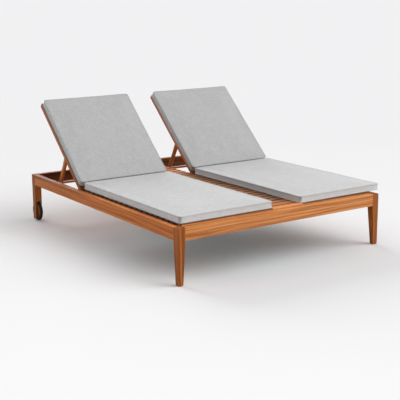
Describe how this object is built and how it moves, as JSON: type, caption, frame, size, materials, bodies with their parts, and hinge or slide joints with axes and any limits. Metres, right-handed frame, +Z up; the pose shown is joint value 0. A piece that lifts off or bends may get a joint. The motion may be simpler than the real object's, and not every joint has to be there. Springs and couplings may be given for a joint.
{
  "type": "double chaise lounger",
  "caption": "Slatted wooden double chaise lounger with reclining backrests on folding props, rear wheels and boxed fabric cushions.",
  "frame": {"origin": "on the floor under the middle of the whole object's box", "axes": "+X across the lounger to the sitter's left cushion side, +Y from the foot end to the head end, +Z up"},
  "size_m": [1.6541, 2.045, 0.9167],
  "materials": {
    "teak": "oiled",
    "teak_light": "oiled",
    "cushion_fabric": "woven",
    "tyre": "matt",
    "steel": "brushed",
    "glide": "matt",
    "bush": "matt"
  },
  "bodies": {
    "frame": {"foot_rail": "teak_light", "head_rail": "teak", "side_rail_left": "teak", "side_rail_right": "teak", "front_leg_left": "teak", "front_leg_right": "teak", "rear_leg_left": "teak", "rear_leg_right": "teak", "corner_blocks_front": "teak", "corner_blocks_rear": "teak", "centre_beam_left": "teak", "centre_beam_right": "teak", "seat_ledger_left": "teak", "seat_ledger_right": "teak", "seat_slats": "teak", "centre_slats": "teak", "rack_left_outer": "teak", "rack_left_inner": "teak", "rack_right_inner": "teak", "rack_right_outer": "teak", "front_glides": "glide", "wheel_axles": "steel", "hinge_bolts": "steel", "hinge_spacers": "steel", "seat_cushion_left": "cushion_fabric", "seat_cushion_right": "cushion_fabric"},
    "backrest_left": {"back_left_stile_outer": "teak", "back_left_stile_inner": "teak", "back_left_top_rail": "teak", "back_left_bottom_rail": "teak", "back_left_slats": "teak", "back_left_pivot_bolts": "steel", "back_left_cushion": "cushion_fabric"},
    "prop_left": {"prop_left_strut_outer": "teak", "prop_left_strut_inner": "teak", "prop_left_foot_bar": "teak"},
    "wheel_left": {"wheel_left_tyre": "tyre", "wheel_left_disc": "teak", "wheel_left_bush": "bush"},
    "backrest_right": {"back_right_stile_outer": "teak", "back_right_stile_inner": "teak", "back_right_top_rail": "teak", "back_right_bottom_rail": "teak", "back_right_slats": "teak", "back_right_pivot_bolts": "steel", "back_right_cushion": "cushion_fabric"},
    "prop_right": {"prop_right_strut_outer": "teak", "prop_right_strut_inner": "teak", "prop_right_foot_bar": "teak"},
    "wheel_right": {"wheel_right_tyre": "tyre", "wheel_right_disc": "teak", "wheel_right_bush": "bush"}
  },
  "joints": [
    {"name": "backrest_left_recline", "type": "hinge", "parent": "frame", "child": "backrest_left", "pos_m": [-0.493, 0.2665, 0.326], "axis": [1, 0, 0], "range_deg": [-40.3, 6]},
    {"name": "prop_left_fold", "type": "hinge", "parent": "backrest_left", "child": "prop_left", "pos_m": [-0.493, 0.5164, 0.56832], "axis": [1, 0, 0], "range_deg": [-14.6, 97.9]},
    {"name": "wheel_left_spin", "type": "hinge", "parent": "frame", "child": "wheel_left", "pos_m": [-0.802, 0.9525, 0.07], "axis": [1, 0, 0], "continuous": true},
    {"name": "backrest_right_recline", "type": "hinge", "parent": "frame", "child": "backrest_right", "pos_m": [0.439, 0.2665, 0.326], "axis": [1, 0, 0], "range_deg": [-40.3, 6]},
    {"name": "prop_right_fold", "type": "hinge", "parent": "backrest_right", "child": "prop_right", "pos_m": [0.439, 0.5164, 0.56832], "axis": [1, 0, 0], "range_deg": [-14.6, 97.9]},
    {"name": "wheel_right_spin", "type": "hinge", "parent": "frame", "child": "wheel_right", "pos_m": [0.748, 0.9525, 0.07], "axis": [1, 0, 0], "continuous": true}
  ],
  "couplings": [
    {"joint": "prop_left_fold", "follows": "backrest_left_recline", "ratio": -2.4268},
    {"joint": "prop_right_fold", "follows": "backrest_right_recline", "ratio": -2.4268}
  ]
}
